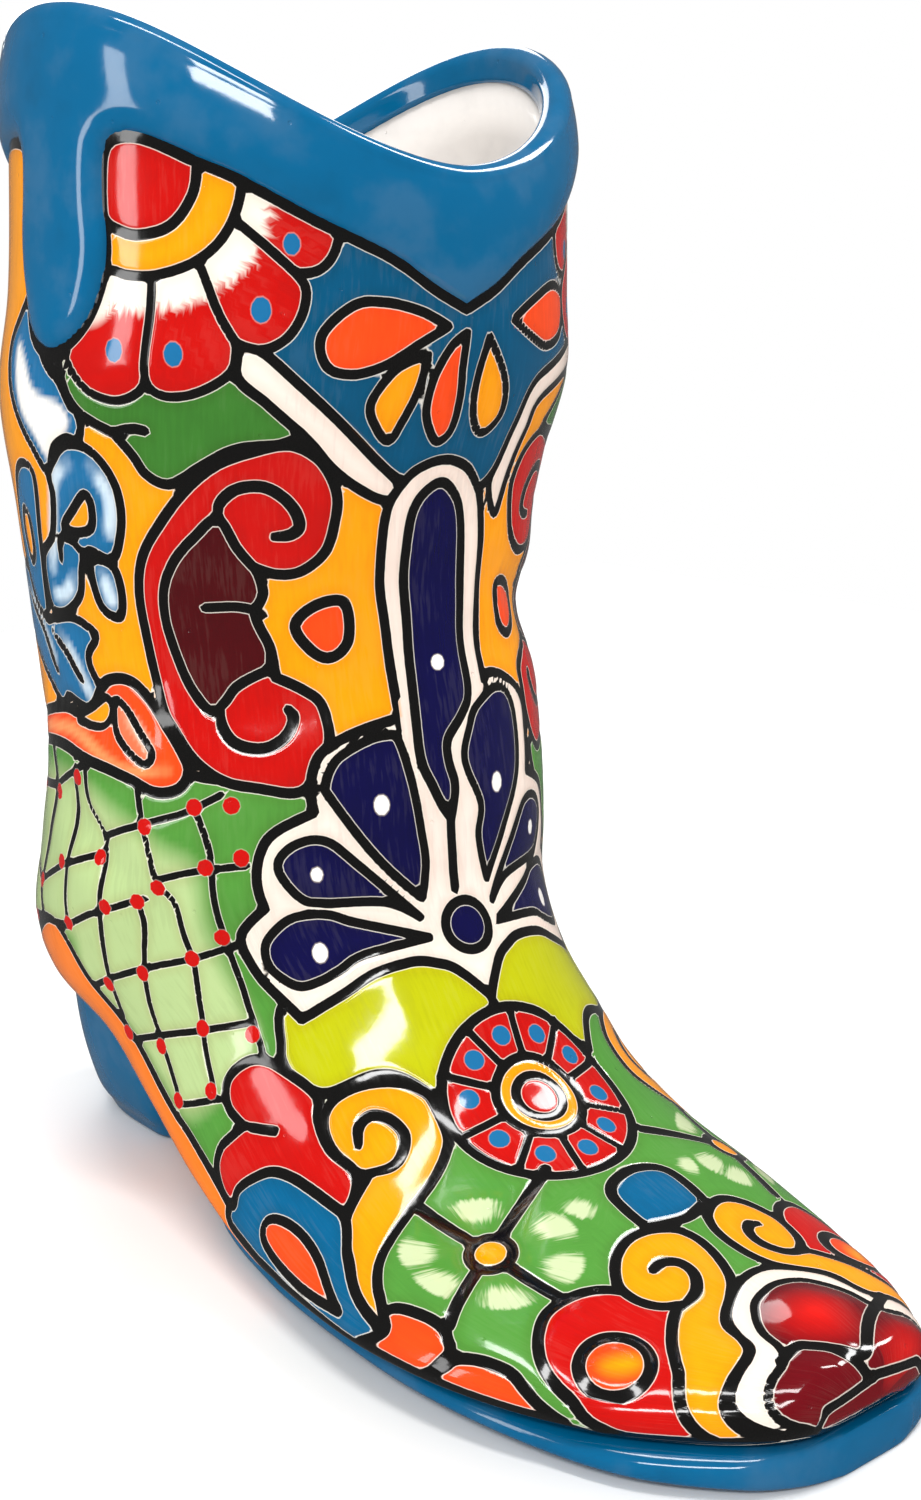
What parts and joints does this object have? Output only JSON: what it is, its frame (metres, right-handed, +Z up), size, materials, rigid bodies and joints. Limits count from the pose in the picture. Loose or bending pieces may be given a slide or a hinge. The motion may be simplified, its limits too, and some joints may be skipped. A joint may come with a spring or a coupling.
{
  "type": "boot-shaped pottery vase",
  "caption": "Hand-painted glazed earthenware vase shaped like a cowboy boot, hollow, with a scalloped rolled collar, side pull straps, sole and stacked heel.",
  "frame": {"origin": "on the table, under the middle of the boot's outside box", "axes": "+Z up along the shaft, +Y towards the heel, -Y towards the toe, +X to the right of someone facing the toe with the toe towards them"},
  "size_m": [0.1522, 0.285, 0.305],
  "materials": {
    "painted_body": "glossy hand-painted talavera glaze, black outlines over yellow, red, green, cobalt and cream; white inside",
    "blue_trim": "glossy mid-blue glaze",
    "blue_sole": "glossy mid-blue glaze, unglazed underside",
    "blue_heel": "glossy mid-blue glaze, unglazed underside"
  },
  "bodies": {
    "root": {"boot_shell": "painted_body", "rim_collar": "blue_trim", "pull_strap_left": "blue_trim", "pull_strap_right": "blue_trim", "sole": "blue_sole", "heel": "blue_heel"}
  },
  "joints": []
}
